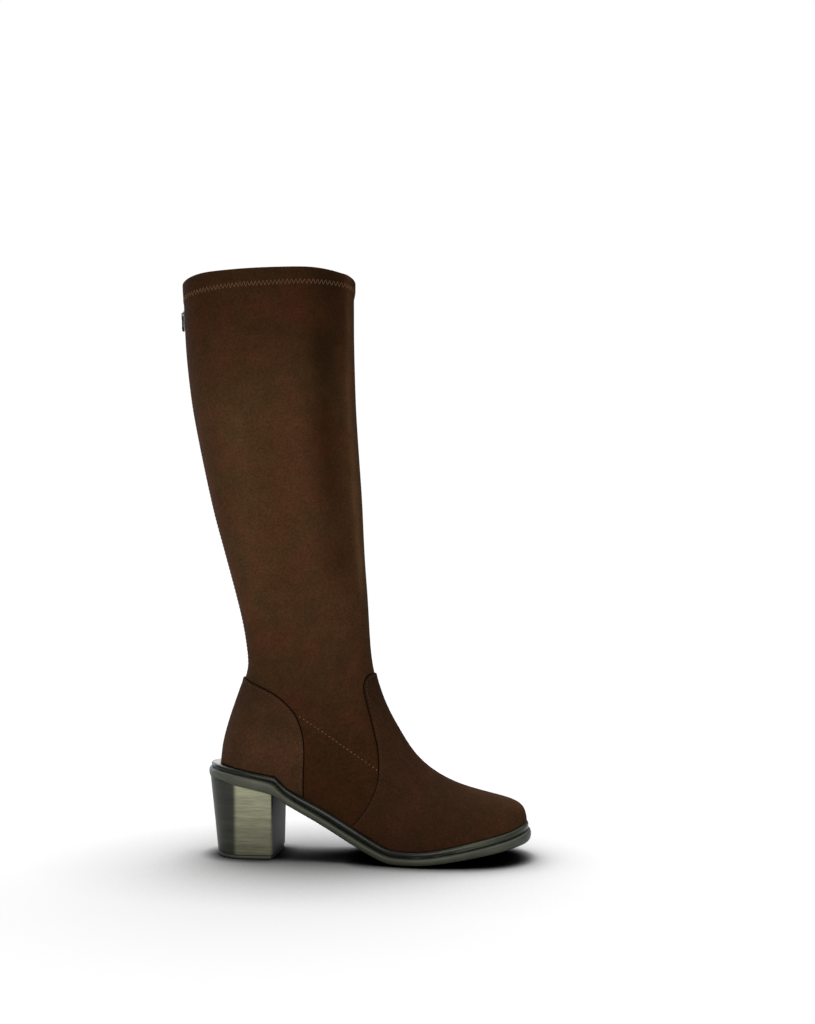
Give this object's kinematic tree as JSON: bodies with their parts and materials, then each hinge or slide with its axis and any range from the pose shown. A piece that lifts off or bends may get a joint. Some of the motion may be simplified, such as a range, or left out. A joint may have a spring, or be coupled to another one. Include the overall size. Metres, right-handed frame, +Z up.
{
  "type": "knee-high boot",
  "caption": "Knee-high boot for the right foot, with a full-length back zip, suede overlays at heel and vamp, a welted sole and a block heel.",
  "frame": {"origin": "on the ground, under the middle of the boot's bounding box", "axes": "+X towards the toe, +Y towards the inner side of the foot, +Z up; the boot stands on its heel tip and on the flat under the ball"},
  "size_m": [0.2783, 0.1042, 0.4476],
  "materials": {
    "stretch_suede": "dark brown stretch suede, soft matt nap",
    "suede": "dark brown suede, matt nap",
    "lining": "dark brown knitted lining",
    "welt_rubber": "polished, near black",
    "sole_rubber": "satin, dark olive grey",
    "heel_stack": "polished, with fine level lines, olive grey",
    "tip_rubber": "matt black",
    "zip_cloth": "black woven tape",
    "zip_nylon": "dark grey-green nylon coil",
    "nickel": "polished nickel",
    "gunmetal": "dark gunmetal"
  },
  "bodies": {
    "boot": {"upper": "stretch_suede", "vamp": "suede", "counter": "suede", "insole": "lining", "welt": "welt_rubber", "outsole": "sole_rubber", "heel": "heel_stack", "heel_tip": "tip_rubber", "zip_tape": "zip_cloth", "zip_chain": "zip_nylon", "zip_slider": "nickel"},
    "pull": {"zip_pull": "gunmetal"}
  },
  "joints": [
    {"name": "zip_pull_hinge", "type": "hinge", "parent": "boot", "child": "pull", "pos_m": [-0.1374, 0, 0.42285], "axis": [0, 1, 0], "range_deg": [0, 165]}
  ]
}
